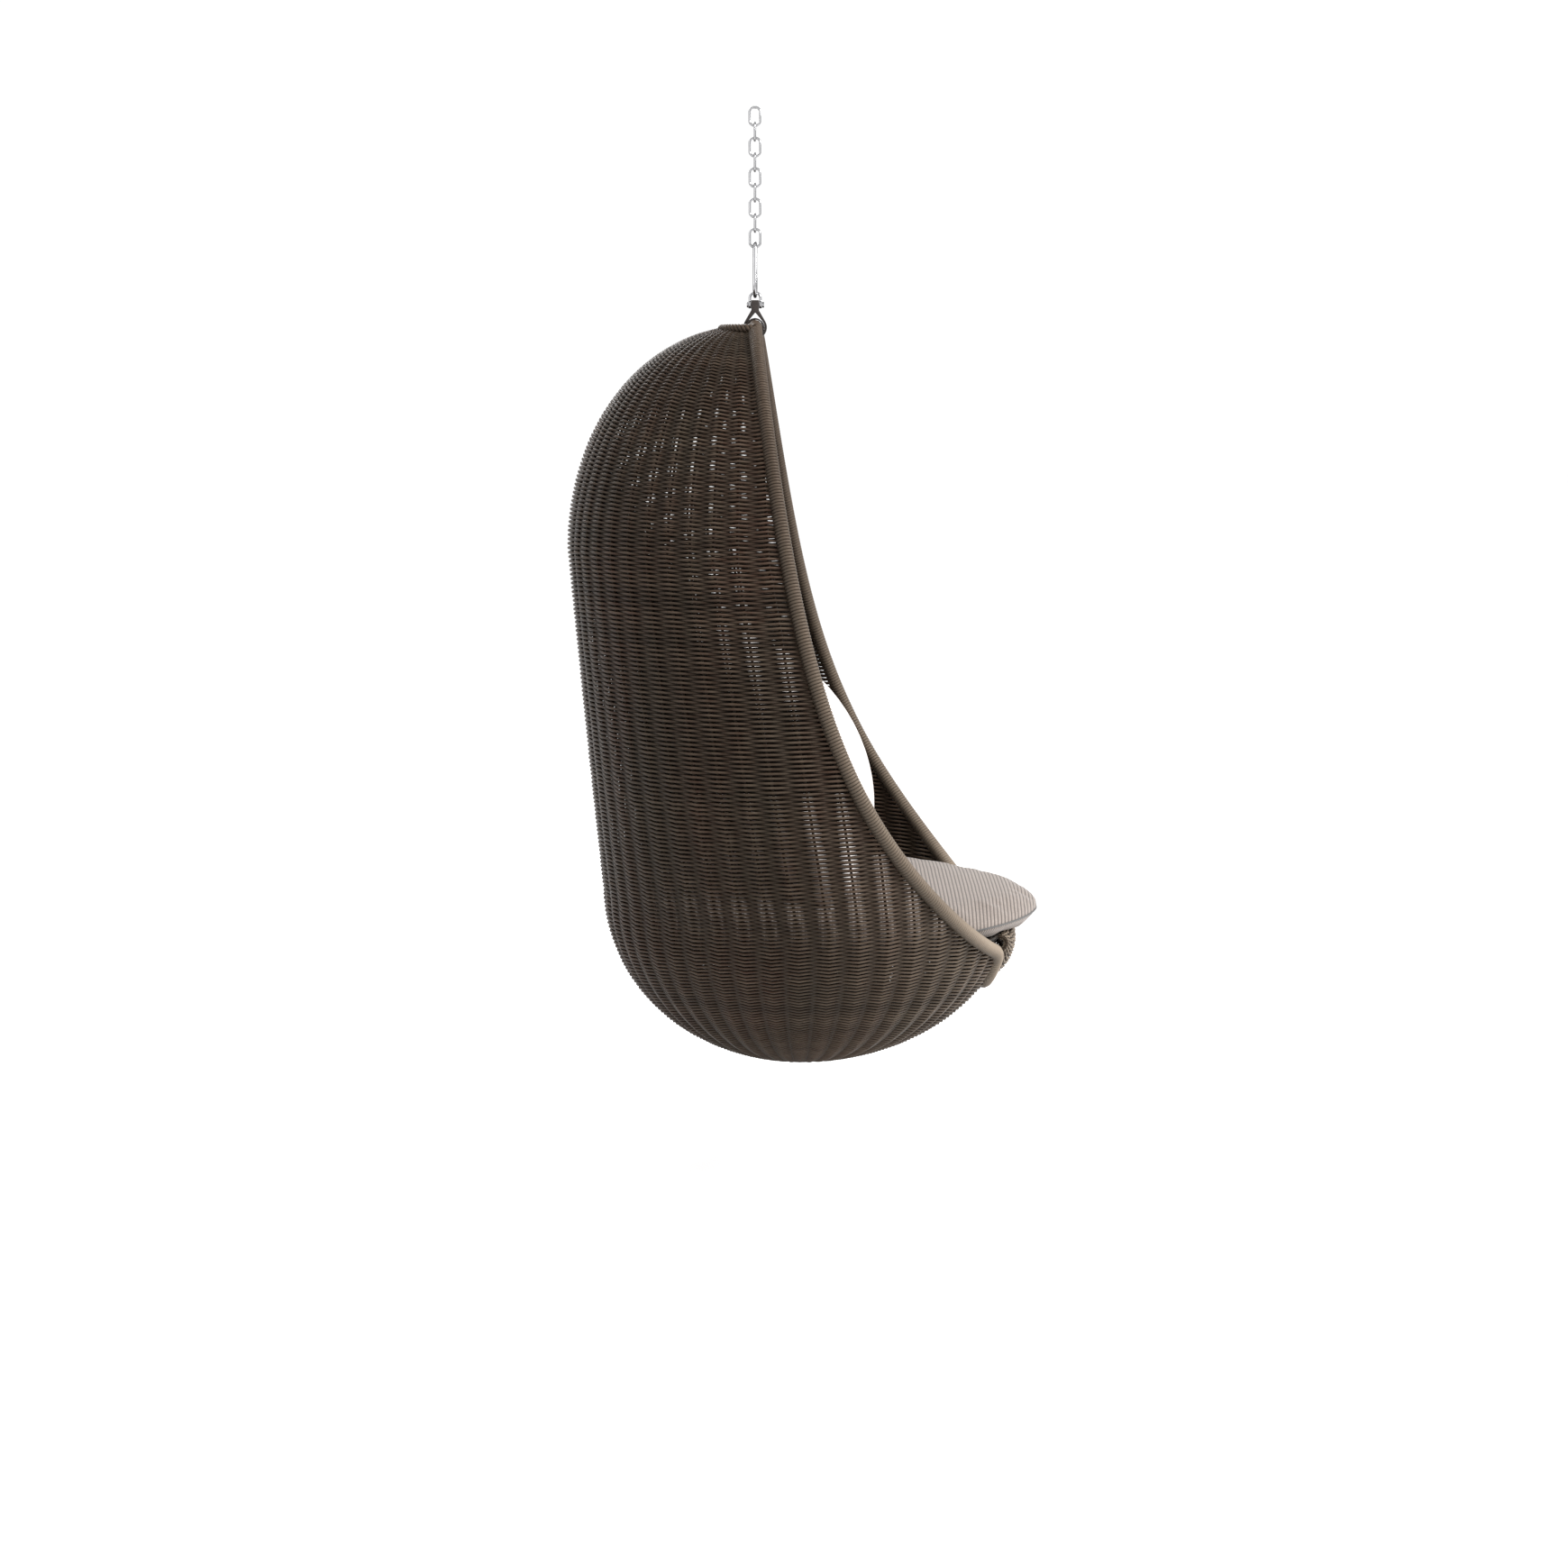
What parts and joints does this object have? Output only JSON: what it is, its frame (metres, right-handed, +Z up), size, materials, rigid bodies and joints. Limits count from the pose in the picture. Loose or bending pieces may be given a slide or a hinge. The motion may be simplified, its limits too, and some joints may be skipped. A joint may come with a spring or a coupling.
{
  "type": "hanging pod chair",
  "caption": "Hanging woven pod chair with a wrapped rim, a loose seat cushion and a back pillow, hung from a strap, a shackle, a carabiner and a chain.",
  "frame": {"origin": "where a hook bears on the inside of the top chain link", "axes": "+X towards the sitter's knees, +Y across the seat, +Z up along the chain"},
  "size_m": [0.7897, 0.8486, 1.5851],
  "materials": {
    "chrome": "polished",
    "strap": "matte",
    "tube": "satin",
    "wrap": "satin",
    "weave": "satin",
    "cushion": "matte",
    "pillow": "matte"
  },
  "bodies": {
    "link_1": {"chain_link_1": "chrome"},
    "link_2": {"chain_link_2": "chrome"},
    "link_3": {"chain_link_3": "chrome"},
    "link_4": {"chain_link_4": "chrome"},
    "link_5": {"chain_link_5": "chrome"},
    "link_6": {"chain_link_6": "chrome"},
    "link_7": {"chain_link_7": "chrome"},
    "link_8": {"chain_link_8": "chrome"},
    "link_9": {"chain_link_9": "chrome"},
    "carabiner": {"carabiner_body": "chrome", "carabiner_gate_pin": "chrome"},
    "gate": {"carabiner_gate": "chrome"},
    "shackle": {"shackle_bow": "chrome", "shackle_pin": "chrome", "shackle_nut": "chrome"},
    "strap": {"hanging_strap": "strap"},
    "pod": {"rim_sleeve": "strap", "rim_core": "tube", "rim_wrap": "wrap", "top_ring": "wrap", "woven_shell": "weave", "seat_deck": "weave", "front_lip": "weave", "nose_bar": "tube", "seat_rail_rear": "tube", "seat_rail_middle": "tube", "seat_rail_front": "tube", "seat_cushion": "cushion", "back_pillow": "pillow"}
  },
  "joints": [
    {"name": "link_2_sway", "type": "hinge", "parent": "link_1", "child": "link_2", "pos_m": [0, 0, -0.0263], "axis": [1, 0, 0], "range_deg": [-20, 20]},
    {"name": "link_3_swing", "type": "hinge", "parent": "link_2", "child": "link_3", "pos_m": [0, 0, -0.0503], "axis": [0, 1, 0], "range_deg": [-20, 20]},
    {"name": "link_4_sway", "type": "hinge", "parent": "link_3", "child": "link_4", "pos_m": [0, 0, -0.0743], "axis": [1, 0, 0], "range_deg": [-20, 20]},
    {"name": "link_5_swing", "type": "hinge", "parent": "link_4", "child": "link_5", "pos_m": [0, 0, -0.0983], "axis": [0, 1, 0], "range_deg": [-20, 20]},
    {"name": "link_6_twist", "type": "hinge", "parent": "link_5", "child": "link_6", "pos_m": [0, 0, -0.1223], "axis": [0, 0, 1], "range_deg": [-40, 40]},
    {"name": "link_7_twist", "type": "hinge", "parent": "link_6", "child": "link_7", "pos_m": [0, 0, -0.1463], "axis": [0, 0, 1], "range_deg": [-40, 40]},
    {"name": "link_8_sway", "type": "hinge", "parent": "link_7", "child": "link_8", "pos_m": [0, 0, -0.1703], "axis": [1, 0, 0], "range_deg": [-20, 20]},
    {"name": "link_9_swing", "type": "hinge", "parent": "link_8", "child": "link_9", "pos_m": [0, 0, -0.1943], "axis": [0, 1, 0], "range_deg": [-20, 20]},
    {"name": "carabiner_sway", "type": "hinge", "parent": "link_9", "child": "carabiner", "pos_m": [0, 0, -0.2183], "axis": [1, 0, 0], "range_deg": [-20, 20]},
    {"name": "gate_opening", "type": "hinge", "parent": "carabiner", "child": "gate", "pos_m": [0, 0.01658, -0.26016], "axis": [1, 0, 0], "range_deg": [0, 30], "stiffness_Nm_per_rad": 0.3, "springref_deg": -17.19},
    {"name": "shackle_swing", "type": "hinge", "parent": "carabiner", "child": "shackle", "pos_m": [0, 0, -0.2968], "axis": [0, 1, 0], "range_deg": [-20, 20]},
    {"name": "strap_sway", "type": "hinge", "parent": "shackle", "child": "strap", "pos_m": [0, 0, -0.31075], "axis": [1, 0, 0], "range_deg": [-15, 15]},
    {"name": "pod_swing", "type": "hinge", "parent": "strap", "child": "pod", "pos_m": [0, 0, -0.34695], "axis": [0, 1, 0], "range_deg": [-15, 15]}
  ]
}
